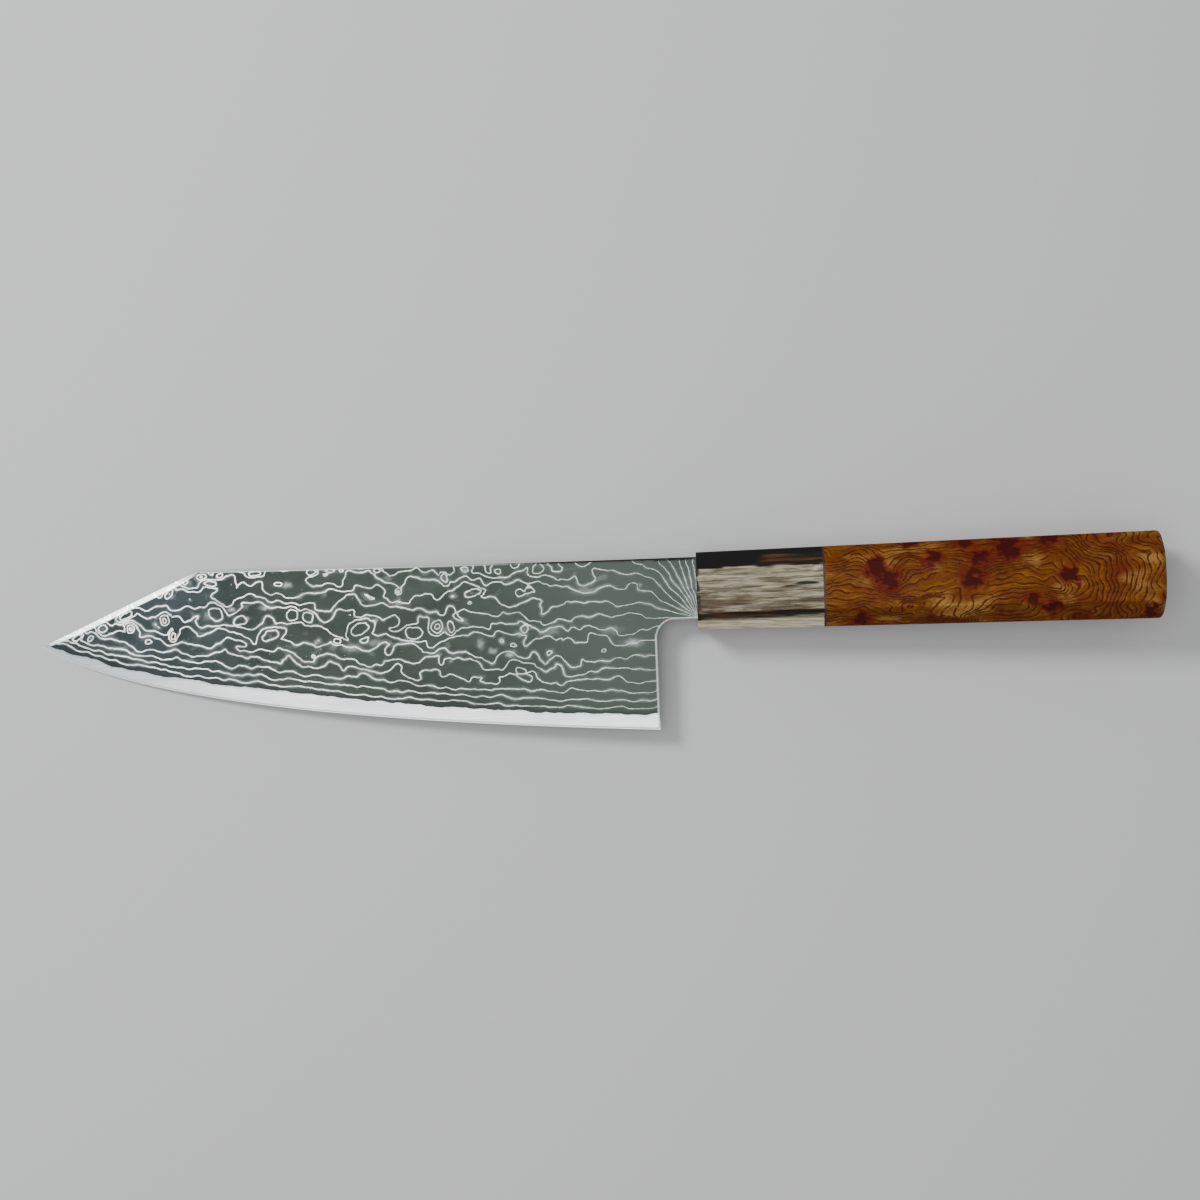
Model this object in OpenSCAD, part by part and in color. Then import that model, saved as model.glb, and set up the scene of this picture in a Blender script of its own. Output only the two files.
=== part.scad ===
// Kitchen knife with an angled tip, a three-layer blade and an octagonal hidden-tang handle.
//
// Every piece is drawn in the knife's own axes: U (OpenSCAD's X) runs along the handle from the
// ferrule's front face at 0 towards the butt, V (Y) from the edge to the spine with the handle's
// axis at 0, and W (Z) through the blade's thickness with the middle of the blade at 0.
// lay_down() then puts the knife on its side, as it rests: its false edge close behind the tip and
// the ferrule's front edge touch Z = 0, and the origin lies under the middle of the knife.

/* [Blade] */
// Length of the cutting edge, from tip to heel along the knife
blade_l = 180; // [120:1:240]
// Height of the blade at the heel
heel_h = 49.5; // [36:0.5:60]
// Length of the angled back, from tip to corner
angled_l = 46; // [24:1:70]
// Drop of the angled back, from corner to tip
angled_drop = 20.3; // [10:0.1:28]
// Radius that softens the corner of the back
corner_r = 5; // [1:0.5:12]
// Rise of the spine from the handle to the corner
spine_rise = 1; // [0:0.1:3]
// Drop of the spine below the top of the ferrule
spine_step = 1.25; // [0.5:0.05:3]

/* [Blade thickness] */
// Thickness of the spine at the handle, and of the tang
spine_t = 2.2; // [1.6:0.1:3.2]
// Distance from the ferrule at which the spine starts to get thinner
full_t_l = 20; // [5:1:60]
// Thickness of the spine at the corner of the back
corner_t = 1.5; // [1.2:0.1:2.4]
// Thickness the flat faces would have if they ran on to the edge
face_edge_t = 0.9; // [0.8:0.05:1.4]
// Thickness of the hard core steel
core_t = 0.7; // [0.4:0.05:0.8]
// Height of the core steel that shows above the edge
core_show = 4.8; // [3:0.1:9]
// Height of the small sharpened bevel
micro_h = 0.5; // [0.3:0.05:1]
// Thickness at the top of the small sharpened bevel
micro_t = 0.2; // [0.1:0.02:0.3]
// Thickness left on the angled back by its false edge
false_edge_t = 0.5; // [0.3:0.05:0.8]
// Angle of each face of the false edge
false_edge_a = 17; // [10:1:30]

/* [Edge curve] */
// Angle of the edge to the handle's axis at the heel
heel_a = 3.2; // [0:0.1:8]
// Reach of the flat stretch of the edge, from the heel
heel_pull = 80; // [40:1:90]
// Angle of the edge to the handle's axis at the tip
tip_a = 33; // [20:1:45]
// Reach of the curved stretch of the edge, from the tip
tip_pull = 32; // [15:1:50]

/* [Neck and tang] */
// Length of the neck, from heel to ferrule
neck_l = 12; // [8:0.5:20]
// Rise of the neck's lower edge above the bottom of the ferrule
neck_step = 3.1; // [1.5:0.05:5]
// Radius between the neck and the heel
choil_r = 5.2; // [2:0.1:7]
// Length of the tang inside the handle
tang_l = 90; // [50:1:95]
// Height of the tang at the ferrule
tang_root_h = 10; // [8:0.1:12]
// Height of the tang at its end
tang_end_h = 6; // [4:0.1:7]
// Number of resin notches along each edge of the tang
notch_count = 4; // [0:1:6]
// Depth of a resin notch
notch_d = 0.8; // [0.3:0.1:1]
// Length of a resin notch
notch_l = 3; // [2:0.5:5]

/* [Handle] */
// Length of the handle, from the ferrule's front face to the butt
handle_l = 133; // [125:1:160]
// Height of the handle at the ferrule
front_h = 22.2; // [20:0.1:26]
// Height of the handle at the butt
rear_h = 25; // [20:0.1:30]
// Width of the handle at the ferrule
front_w = 19; // [17:0.1:24]
// Width of the handle at the butt
rear_w = 21.6; // [17:0.1:27]
// Size of the octagon's corner flats, measured along the height
corner_flat = 5; // [3:0.1:5.5]
// Radius of the rounding round the butt
butt_r = 2.6; // [1:0.1:3.5]
// Radius of the butt's slight dome
crown_r = 95; // [60:1:200]
// Height of the butt's rounding above the dome
crown_over = 0.7; // [0.3:0.1:1.2]

/* [Ferrule, liner and dowel] */
// Length of the ferrule
ferrule_l = 36; // [24:0.5:42]
// Thickness of the ferrule's front wall, which holds the tang slot
ferrule_wall = 9; // [5:0.5:14]
// Thickness of the liner between ferrule and handle
liner_t = 0.6; // [0.4:0.1:3]
// Wall of the dowel at the corners of its slot
dowel_wall = 1.1; // [0.8:0.1:1.5]
// Length of the dowel past the end of its slot
dowel_past_slot = 13; // [5:1:14]
// Gap between the dowel and its bores, filled with glue
glue_gap = 0.05; // [0.02:0.01:0.1]
// Gap above and below the tang in its slot, filled with resin
resin_gap_v = 0.4; // [0.2:0.05:0.6]
// Gap on each side of the tang in its slot, filled with resin
resin_gap_w = 0.3; // [0.1:0.05:0.5]
// Gap between the end of the tang and the end of its slot
resin_gap_end = 1.5; // [0.5:0.1:3]
// Point angle of the drill that bored the body
drill_point_a = 118; // [90:1:140]

/* [Hidden] */
$fn = 96;

edge_steps = 44;      // stretches of the edge curve
spine_steps = 10;     // stretches of the spine curve
arc_steps = 8;        // stretches of a rounded corner
beyond = 20;          // how far a cutting solid runs past what it cuts

heel_u = -neck_l;
tip_u = heel_u - blade_l;
corner_u = tip_u + angled_l;
spine_v = front_h / 2 - spine_step;
corner_v = spine_v + spine_rise;
tip_v = corner_v - angled_drop;
heel_v = spine_v - heel_h;
neck_v = neck_step - front_h / 2;

// Slopes of the flat faces, up the blade and along it.
lean_v = (spine_t - face_edge_t) / 2 / heel_h;
lean_u = (spine_t - corner_t) / 2 / (-corner_u - full_t_l);
bevel_slope = (core_t - micro_t) / 2 / (core_show - micro_h);

notch_pitch = tang_l / (notch_count + 1);
pocket_h = tang_root_h + 2 * resin_gap_v;
pocket_end_h = tang_end_h + 2 * resin_gap_v;
pocket_t = spine_t + 2 * resin_gap_w;
pocket_l = tang_l + resin_gap_end;
dowel_d = norm([pocket_h, pocket_t]) + 2 * dowel_wall;
bore_d = dowel_d + 2 * glue_gap;
liner_end = ferrule_l + liner_t;
dowel_end = pocket_l + dowel_past_slot;
drill_point_h = bore_d / 2 / tan(drill_point_a / 2);

// At rest the knife stands on the ferrule's front edge and on its false edge, at the point close
// behind the tip where the false edge gets its full thickness.
contact_h = micro_h + (false_edge_t - micro_t) / 2 / bevel_slope;
contact_u = tip_u + contact_h / (tan(tip_a) + angled_drop / angled_l);
rest_a = atan((front_w - false_edge_t) / 2 / -contact_u);
rest_x = (tip_u * cos(rest_a) + (handle_l - crown_r) * cos(rest_a) + crown_r) / 2;
rest_y = (handle_h(handle_l + crown_over - butt_r) / 2 + heel_v) / 2;
rest_z = front_w / 2 * cos(rest_a);

// ---------------------------------------------------------------- curves

function mix(a, b, share) = a + (b - a) * share;

// Height and width of the handle at a distance u from the ferrule's front face.
function handle_h(u) = mix(front_h, rear_h, u / handle_l);
function handle_w(u) = mix(front_w, rear_w, u / handle_l);
function diagonal_w(u) = (handle_h(u) + handle_w(u) - 2 * corner_flat) / sqrt(2);

// The cutting edge is a cubic Bezier curve from the heel, at share 0, to the tip, at share 1.
edge_a = [heel_u, heel_v];
edge_b = edge_a + heel_pull * [-cos(heel_a), sin(heel_a)];
edge_d = [tip_u, tip_v];
edge_c = edge_d + tip_pull * [cos(tip_a), -sin(tip_a)];
function edge_at(share) =
    let (left = 1 - share)
    left ^ 3 * edge_a + 3 * left ^ 2 * share * edge_b + 3 * left * share ^ 2 * edge_c
    + share ^ 3 * edge_d;

// The spine rises slowly from the neck to the corner of the back.
function spine_at(share) = [corner_u * share, spine_v + spine_rise * share ^ 2];

// Points of an arc of radius r that rounds the corner at b, between its neighbours a and c.
function rounded(a, b, c, r) =
    let (
        ba = (a - b) / norm(a - b),
        bc = (c - b) / norm(c - b),
        half = acos(ba * bc) / 2,
        centre = b + (ba + bc) / norm(ba + bc) * r / sin(half),
        from = b + ba * r / tan(half) - centre,
        to = b + bc * r / tan(half) - centre
    )
    [for (i = [0:arc_steps])
        let (
            turn = i / arc_steps * (180 - 2 * half),
            way = sign(cross(from, to))
        )
        centre + [
            from.x * cos(turn) - way * from.y * sin(turn),
            way * from.x * sin(turn) + from.y * cos(turn)
        ]];

// Two corners of a resin notch on the tang's edge; side is 1 for the upper edge, -1 for the lower.
function tang_half(u) = mix(tang_root_h, tang_end_h, u / tang_l) / 2;
function notch(u, side) = [
    [u - notch_l / 2, side * tang_half(u - notch_l / 2)],
    [u - notch_l / 4, side * (tang_half(u - notch_l / 4) - notch_d)],
    [u + notch_l / 4, side * (tang_half(u + notch_l / 4) - notch_d)],
    [u + notch_l / 2, side * tang_half(u + notch_l / 2)]
];

// ---------------------------------------------------------------- blade

// Side view of the blade with its tang. It runs on below the edge, which edge_wedge() cuts.
module blade_outline() {
    back = [corner_u, corner_v];
    past_tip = mix(back, [tip_u, tip_v], 1.1);
    under = [0, heel_v - beyond];
    choil = [heel_u, neck_v];
    polygon(concat(
        [for (i = [0:spine_steps - 1]) spine_at(i / spine_steps)],
        rounded(spine_at(1 - 1 / spine_steps), back, past_tip, corner_r),
        [past_tip, [past_tip.x, under.y], [heel_u, under.y]],
        rounded([heel_u, under.y], choil, [0, neck_v], choil_r),
        [[0, neck_v], [0, -tang_root_h / 2]],
        [for (i = [1:1:notch_count]) each notch(i * notch_pitch, -1)],
        [[tang_l, -tang_end_h / 2], [tang_l, tang_end_h / 2]],
        [for (i = [notch_count:-1:1]) let (n = notch(i * notch_pitch, 1))
            each [n[3], n[2], n[1], n[0]]],
        [[0, tang_root_h / 2]]
    ));
}

// Solid between the two flat faces of the blade, which lean in towards the edge and the tip.
module flat_faces() {
    size = 4 * (blade_l + handle_l);
    turn_v = -atan(lean_u);
    turn_u = atan(lean_v * cos(turn_v));
    intersection() {
        translate([-full_t_l, spine_v, spine_t / 2])
            rotate([turn_u, turn_v, 0])
                translate([-size / 2, -size / 2, -size / 4])
                    cube([size, size, size / 4]);
        translate([-full_t_l, spine_v, -spine_t / 2])
            rotate([-turn_u, -turn_v, 0])
                translate([-size / 2, -size / 2, 0])
                    cube([size, size, size / 4]);
    }
}

// Solid between the two bevels that run down to the cutting edge.
module edge_wedge() {
    reach = 2 * heel_h;
    half = micro_t / 2 + bevel_slope * (reach - micro_h);
    past_heel = edge_at(-1 / edge_steps);
    line = concat(
        [[tang_l + beyond, past_heel.y]],
        [for (i = [-1:edge_steps + 1]) edge_at(i / edge_steps)]
    );
    last = len(line) - 1;
    ring = [[0, 0], [micro_h, micro_t / 2], [reach, half], [reach, -half], [micro_h, -micro_t / 2]];
    count = len(ring);
    polyhedron(
        [for (p = line) for (q = ring) [p.x, p.y + q.x, q.y]],
        concat(
            [[for (k = [0:count - 1]) k]],
            [for (i = [0:last - 1]) for (k = [0:count - 1])
                let (m = (k + 1) % count, a = i * count, b = a + count)
                each [[a + k, b + k, b + m], [a + k, b + m, a + m]]],
            [[for (k = [count - 1:-1:0]) last * count + k]]
        )
    );
}

// Solid that thins the angled back to its false edge.
module false_edge() {
    back = [corner_u, corner_v];
    along = back - [tip_u, tip_v];
    rise = beyond * tan(false_edge_a);
    depth = 2 * (blade_l + handle_l);
    translate([tip_u, tip_v, 0])
        rotate([0, 0, atan2(along.y, along.x)])
            rotate([90, 0, 90])
                translate([0, 0, -blade_l])
                    linear_extrude(height = 2 * depth)
                        polygon([
                            [0, false_edge_t / 2], [0, -false_edge_t / 2],
                            [-beyond, -false_edge_t / 2 - rise], [-depth, -false_edge_t / 2 - rise],
                            [-depth, false_edge_t / 2 + rise], [-beyond, false_edge_t / 2 + rise]
                        ]);
}

// The whole laminated blank: blade, neck and tang.
module blade_blank() {
    intersection() {
        linear_extrude(height = spine_t, center = true) blade_outline();
        flat_faces();
        edge_wedge();
        false_edge();
    }
}

// The part of the blank between two levels of its thickness.
module blank_layer(from_w, to_w) {
    intersection() {
        blade_blank();
        translate([tip_u - beyond, heel_v - beyond, from_w])
            cube([tang_l - tip_u + 2 * beyond, corner_v - heel_v + 2 * beyond, to_w - from_w]);
    }
}

// Hard steel in the middle of the blade, which forms the edge.
module core_steel() {
    color([0.84, 0.87, 0.89])
        lay_down()
            blank_layer(-core_t / 2, core_t / 2);
}

// Patterned steel on the core's left side, which faces up at rest.
module cladding_left() {
    color([0.36, 0.42, 0.39])
        lay_down()
            blank_layer(core_t / 2, spine_t);
}

// Patterned steel on the core's right side, which faces down at rest.
module cladding_right() {
    color([0.36, 0.42, 0.39])
        lay_down()
            blank_layer(-spine_t, -core_t / 2);
}

// ---------------------------------------------------------------- handle

// A trapezoid in U and a cross direction; the butt's end is rounded if it reaches handle_l.
module taper_outline(u0, u1, half0, half1) {
    butt = u1 >= handle_l;
    end = butt ? handle_l + crown_over : u1;
    a = [u0, half0];
    b = [end, half0 + (half1 - half0) * (end - u0) / (u1 - u0)];
    top = butt ? rounded(a, b, [b.x, 0], butt_r) : [b];
    polygon(concat(
        [[a.x, -a.y], a],
        top,
        [for (i = [len(top) - 1:-1:0]) [top[i].x, -top[i].y]]
    ));
}

// Octagonal tapered bar between two distances from the ferrule's front face.
module octagon_bar(u0, u1) {
    across = 2 * rear_h;
    intersection() {
        linear_extrude(height = across, center = true)
            taper_outline(u0, u1, handle_h(u0) / 2, handle_h(u1) / 2);
        rotate([90, 0, 0])
            linear_extrude(height = across, center = true)
                taper_outline(u0, u1, handle_w(u0) / 2, handle_w(u1) / 2);
        rotate([45, 0, 0])
            linear_extrude(height = across, center = true)
                taper_outline(u0, u1, diagonal_w(u0) / 2, diagonal_w(u1) / 2);
        rotate([-45, 0, 0])
            linear_extrude(height = across, center = true)
                taper_outline(u0, u1, diagonal_w(u0) / 2, diagonal_w(u1) / 2);
    }
}

// Round bar along the handle's axis.
module round_bar(u0, u1, d) {
    translate([u0, 0, 0])
        rotate([0, 90, 0])
            cylinder(h = u1 - u0, d = d);
}

// Tapered slot that takes the tang.
module tang_pocket() {
    linear_extrude(height = pocket_t, center = true)
        polygon([
            [0, -pocket_h / 2], [pocket_l, -pocket_end_h / 2],
            [pocket_l, pocket_end_h / 2], [0, pocket_h / 2]
        ]);
}

// Antler ferrule with the tang slot in its front wall and the dowel's bore behind it.
module ferrule() {
    color([0.72, 0.68, 0.6])
        lay_down()
            difference() {
                octagon_bar(0, ferrule_l);
                tang_pocket();
                round_bar(ferrule_wall, ferrule_l + beyond, bore_d);
            }
}

// Thin fibre liner between ferrule and wood.
module liner() {
    color([0.23, 0.07, 0.04])
        lay_down()
            difference() {
                octagon_bar(ferrule_l, liner_end);
                round_bar(ferrule_l - beyond, liner_end + beyond, bore_d);
            }
}

// Burl wood body with a domed, rounded butt and a blind bore for the dowel.
module handle_body() {
    color([0.68, 0.4, 0.13])
        lay_down()
            difference() {
                intersection() {
                    octagon_bar(liner_end, handle_l);
                    translate([handle_l - crown_r, 0, 0])
                        sphere(r = crown_r);
                }
                round_bar(liner_end - beyond, dowel_end, bore_d);
                translate([dowel_end, 0, 0])
                    rotate([0, 90, 0])
                        cylinder(h = drill_point_h, d1 = bore_d, d2 = 0);
            }
}

// Hardwood dowel that joins ferrule, liner and body, slotted for the tang.
module dowel() {
    color([0.8, 0.66, 0.45])
        lay_down()
            difference() {
                round_bar(ferrule_wall, dowel_end, dowel_d);
                tang_pocket();
            }
}

// Resin that beds the tang in its slot.
module tang_resin() {
    color([0.78, 0.68, 0.4])
        lay_down()
            difference() {
                tang_pocket();
                blade_blank();
            }
}

// ---------------------------------------------------------------- assembly

// Puts a piece from the knife's own axes on its side, as the knife rests.
module lay_down() {
    translate([-rest_x, -rest_y, rest_z])
        rotate([0, -rest_a, 0])
            children();
}

core_steel();
cladding_left();
cladding_right();
ferrule();
liner();
handle_body();
dowel();
tang_resin();
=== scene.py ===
import math

import bpy
import numpy as np
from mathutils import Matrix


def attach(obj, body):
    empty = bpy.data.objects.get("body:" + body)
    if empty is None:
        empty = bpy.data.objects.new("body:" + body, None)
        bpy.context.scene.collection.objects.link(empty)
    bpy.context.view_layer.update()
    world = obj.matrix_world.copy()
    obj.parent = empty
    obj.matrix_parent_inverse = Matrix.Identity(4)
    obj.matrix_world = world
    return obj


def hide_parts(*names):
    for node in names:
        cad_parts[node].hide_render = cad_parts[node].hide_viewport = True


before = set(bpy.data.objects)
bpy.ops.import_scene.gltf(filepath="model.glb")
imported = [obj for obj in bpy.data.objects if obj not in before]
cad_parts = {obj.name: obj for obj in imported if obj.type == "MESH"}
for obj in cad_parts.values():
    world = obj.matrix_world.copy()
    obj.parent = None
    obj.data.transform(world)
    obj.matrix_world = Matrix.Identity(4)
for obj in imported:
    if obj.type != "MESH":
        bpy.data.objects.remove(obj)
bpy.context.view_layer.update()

MM = 0.001

# -------- camera, straight above as in the photo

CAMERA_AT = (0.001302, 0.012009, 0.658114)
CAMERA_TURN = math.radians(-2.091)
SENSOR_WIDTH, LENS = 36.0, 67.34

link = bpy.context.scene.collection.objects.link
camera_data = bpy.data.cameras.new("camera")
camera_data.sensor_width = SENSOR_WIDTH
camera_data.lens = LENS
camera = bpy.data.objects.new("camera", camera_data)
camera.location = CAMERA_AT
camera.rotation_euler = (0.0, 0.0, CAMERA_TURN)
link(camera)
bpy.context.scene.camera = camera

# -------- the knife's own axes, in millimetres
# U runs along the handle from the ferrule's front face to the butt, V from edge to spine,
# W through the blade. rest() takes a point to the shared frame, where the knife lies on its side.

HEEL_U, TIP_U, CORNER_U, SPLIT_U = -12.0, -192.0, -146.0, -99.0
SPINE_V, CORNER_V, TIP_V, HEEL_V, NECK_V = 9.85, 10.85, -9.45, -39.65, -8.0
CHOIL_R, TANG_L, TANG_ROOT, TANG_END = 5.2, 90.0, 5.0, 3.0
FERRULE_L, LINER_END, HANDLE_L, DOWEL_END = 36.0, 36.6, 133.0, 104.5
BORE_R, FERRULE_WALL = 6.73, 9.0
SLOT_HALF_V, SLOT_HALF_W = 5.4, 1.4
CORE_HALF, HALF_T = 0.35, 1.1
TAPER_FROM, THINNER_AT_CORNER, THINNER_AT_EDGE = -20.0, 0.35, 0.65
MICRO_H, MICRO_HALF, CORE_SHOW = 0.5, 0.1, 4.8
FALSE_EDGE_HALF, SWAGE_HALF, EASE_R = 0.25, 0.2, 0.28
FRONT_H, FRONT_W, BUTT_H, BUTT_W, CHAMFER = 22.2, 19.0, 25.0, 21.6, 5.0
CROWN_R, CROWN_OVER, BUTT_R = 95.0, 0.7, 2.6
TIP_ANGLE, HEEL_ANGLE = math.radians(33), math.radians(3.2)
BACK_SLOPE = (CORNER_V - TIP_V) / (CORNER_U - TIP_U)
BEVEL_SLOPE = (CORE_HALF - MICRO_HALF) / (CORE_SHOW - MICRO_H)


def handle_size(u):
    """Height and width of the handle at u."""
    return FRONT_H + (BUTT_H - FRONT_H) * u / HANDLE_L, FRONT_W + (BUTT_W - FRONT_W) * u / HANDLE_L


# the knife rests on its blade near the tip and on the handle's lower front edge
contact_h = MICRO_H + (FALSE_EDGE_HALF - MICRO_HALF) / BEVEL_SLOPE
contact_u = TIP_U + contact_h / (math.tan(TIP_ANGLE) + BACK_SLOPE)
TILT = math.atan((FRONT_W / 2 - FALSE_EDGE_HALF) / -contact_u)
MID_X = ((TIP_U + HANDLE_L - CROWN_R) * math.cos(TILT) + CROWN_R) / 2
MID_Y = (handle_size(HANDLE_L + CROWN_OVER - BUTT_R)[0] / 2 + HEEL_V) / 2
LIFT = FRONT_W / 2 * math.cos(TILT)


def rest(points):
    """Takes points in the knife's axes to metres in the shared frame."""
    u, v, w = np.asarray(points, float).T
    x = u * math.cos(TILT) - w * math.sin(TILT) - MID_X
    z = u * math.sin(TILT) + w * math.cos(TILT) + LIFT
    return np.column_stack([x, v - MID_Y, z]) * MM


# -------- smooth random fields


def lattice(seed):
    rng = np.random.default_rng(seed)
    ways = rng.normal(size=(512, 3))
    return rng.permutation(512), ways / np.linalg.norm(ways, axis=1, keepdims=True)


def noise(x, y, z, seed):
    """Smooth gradient noise, about -0.7 to 0.7."""
    order, ways = lattice(seed)
    p = np.stack(np.broadcast_arrays(x, y, z), axis=-1).astype(float)
    cell = np.floor(p).astype(int)
    f = p - cell
    fade = f * f * f * (f * (f * 6 - 15) + 10)
    total = np.zeros(p.shape[:-1])
    for corner in np.ndindex(2, 2, 2):
        c = (cell + corner) & 511
        h = order[(order[(order[c[..., 0]] + c[..., 1]) & 511] + c[..., 2]) & 511]
        share = np.prod(np.where(corner, fade, 1 - fade), axis=-1)
        total += share * np.sum(ways[h] * (f - corner), axis=-1)
    return total


def step(x, low, high):
    t = np.clip((x - low) / (high - low), 0, 1)
    return t * t * (3 - 2 * t)


def hump(x, at, half):
    return np.exp(-(((x - at) / half) ** 2))


def blob(u, v, at_u, at_v, half_u, half_v):
    return hump(u, at_u, half_u) * hump(v, at_v, half_v)


def soft_min(a, b, k):
    h = np.maximum(k - np.abs(a - b), 0) / k
    return np.minimum(a, b) - h * h * k / 4


# -------- blade shape


def edge_points():
    """The cutting edge, one curve from the heel to the tip, listed from the tip."""
    t = np.linspace(0, 1, 2001)[:, None]
    heel, tip = np.array([HEEL_U, HEEL_V]), np.array([TIP_U, TIP_V])
    from_heel = heel + 80 * np.array([-math.cos(HEEL_ANGLE), math.sin(HEEL_ANGLE)])
    from_tip = tip + 32 * np.array([math.cos(TIP_ANGLE), -math.sin(TIP_ANGLE)])
    near_heel = (1 - t) ** 3 * heel + 3 * (1 - t) ** 2 * t * from_heel
    return (near_heel + 3 * (1 - t) * t * t * from_tip + t**3 * tip)[::-1]


EDGE = edge_points()


def edge_v(u):
    return np.interp(u, EDGE[:, 0], EDGE[:, 1])


def back_v(u):
    spine = SPINE_V + (CORNER_V - SPINE_V) * (u / CORNER_U) ** 2
    return soft_min(TIP_V + (u - TIP_U) * BACK_SLOPE, spine, 0.44)


def band_h(u):
    """Height of the bright core steel above the edge, without its ripples."""
    at = [TIP_U, -186, -176, -160, -145, -120, -100, -60, -45, -12]
    return np.interp(u, at, [1.2, 2.2, 3.1, 3.4, 4.1, 4.8, 4.3, 4.1, 3.9, 4.4])


def border_v(u):
    """The rippled border between core steel and cladding."""
    r = 0.5 * noise(u / 8.0, 3.1, 0.0, 5) + 0.55 * noise(u / 3.4, 8.4, 0.0, 6)
    return edge_v(u) + band_h(u) + 1.4 * (r + 0.2 * noise(u / 1.3, 1.7, 0.0, 7))


# distances in front of the ferrule between which the spine turns into the angled back
ANGLED_FROM, ANGLED_FULLY = 145.2, 146.6
FAR, THINNEST = 9.0, 0.012


def angled(u):
    """0 along the spine, 1 along the angled back of the tip."""
    return step(-u, ANGLED_FROM, ANGLED_FULLY)


def collar(u):
    """Width of the strip along the back: the narrow bevel of the angled tip, or the eased spine."""
    wide = np.interp(u, [TIP_U, -186, -178, -152, -146.5], [0.5, 1.1, 1.5, 1.5, 0.9])
    return EASE_R + (wide - EASE_R) * angled(u)


def to_back(u, v):
    """Distance to the back, measured square to it."""
    square = math.cos(math.atan(BACK_SLOPE))
    return (back_v(u) - v) * (1 + (square - 1) * angled(u))


def to_heel_side(u, v):
    """Distance to the nearest of the heel, the choil's arc and the underside of the neck."""
    arc_u, arc_v = HEEL_U + CHOIL_R, NECK_V - CHOIL_R
    heel = np.where((u <= HEEL_U) & (v < arc_v), HEEL_U - u, FAR)
    arc = np.where((u < arc_u) & (v >= arc_v), np.hypot(u - arc_u, v - arc_v) - CHOIL_R, FAR)
    under = np.where((u >= arc_u) & (u <= 0), v - NECK_V, FAR)
    return np.minimum.reduce([heel, arc, under])


def half_thickness(u, v):
    """Half the blade's thickness, with bevels, swage and eased edges."""
    flat = HALF_T + THINNER_AT_CORNER * np.minimum((u - TAPER_FROM) / (TAPER_FROM - CORNER_U), 0)
    flat = np.minimum(flat + THINNER_AT_EDGE * (v - SPINE_V) / (SPINE_V - HEEL_V), HALF_T)
    d = np.maximum(v - edge_v(u), 0)
    bevel = np.where(d < MICRO_H, MICRO_HALF / MICRO_H * d, MICRO_HALF + BEVEL_SLOPE * (d - MICRO_H))
    h = soft_min(flat, bevel + np.where(u > HEEL_U, 1.0, 0), 0.07)
    away, tip = to_back(u, v), u < -ANGLED_FROM
    swage = SWAGE_HALF + (np.maximum(h, 0.3) - SWAGE_HALF) * away / collar(u)
    h = np.where(tip & (away < collar(u)), np.minimum(h, swage), h)
    e = np.clip(np.minimum(np.where(tip, FAR, away), to_heel_side(u, v)), 0, EASE_R)
    drop = EASE_R - np.sqrt(np.maximum(EASE_R**2 - (EASE_R - e) ** 2, 0))
    return np.maximum(h - np.minimum(drop, h * 0.6), THINNEST)


def core_half(u, v):
    """Half thickness of the core: bare near the edge, under the cladding above its border."""
    h = half_thickness(u, v)
    bare = np.maximum(h - 0.015, THINNEST)
    deep = np.minimum(CORE_HALF, np.maximum(h - 0.03, 0.01))
    return bare + (deep - bare) * step(v - border_v(u), 0.2, 1.2)


# -------- meshes


def add_piece(name, points, faces, uv, fields, material, sharp=30):
    """Makes one closed piece. faces is a list of index arrays, one row a face."""
    mesh = bpy.data.meshes.new(name)
    loops = np.concatenate([f.ravel() for f in faces]).astype(np.int32)
    counts = np.concatenate([np.full(len(f), f.shape[1]) for f in faces])
    mesh.vertices.add(len(points))
    mesh.vertices.foreach_set("co", rest(points).ravel())
    mesh.loops.add(len(loops))
    mesh.loops.foreach_set("vertex_index", loops)
    mesh.polygons.add(len(counts))
    starts = np.concatenate([[0], np.cumsum(counts)[:-1]])
    mesh.polygons.foreach_set("loop_start", starts.astype(np.int32))
    mesh.update(calc_edges=True)
    layer = mesh.uv_layers.new(name="OFBake")
    layer.data.foreach_set("uv", np.asarray(uv, np.float32).ravel())
    for key, values in fields.items():
        field = mesh.attributes.new(key, "FLOAT", "POINT")
        field.data.foreach_set("value", np.asarray(values, np.float32))
    mesh.polygons.foreach_set("use_smooth", np.ones(len(counts), bool))
    mesh.set_sharp_from_angle(angle=math.radians(sharp))
    mesh.validate()
    mesh.materials.append(material)
    piece = bpy.data.objects.new(name, mesh)
    link(piece)
    return piece


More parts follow.
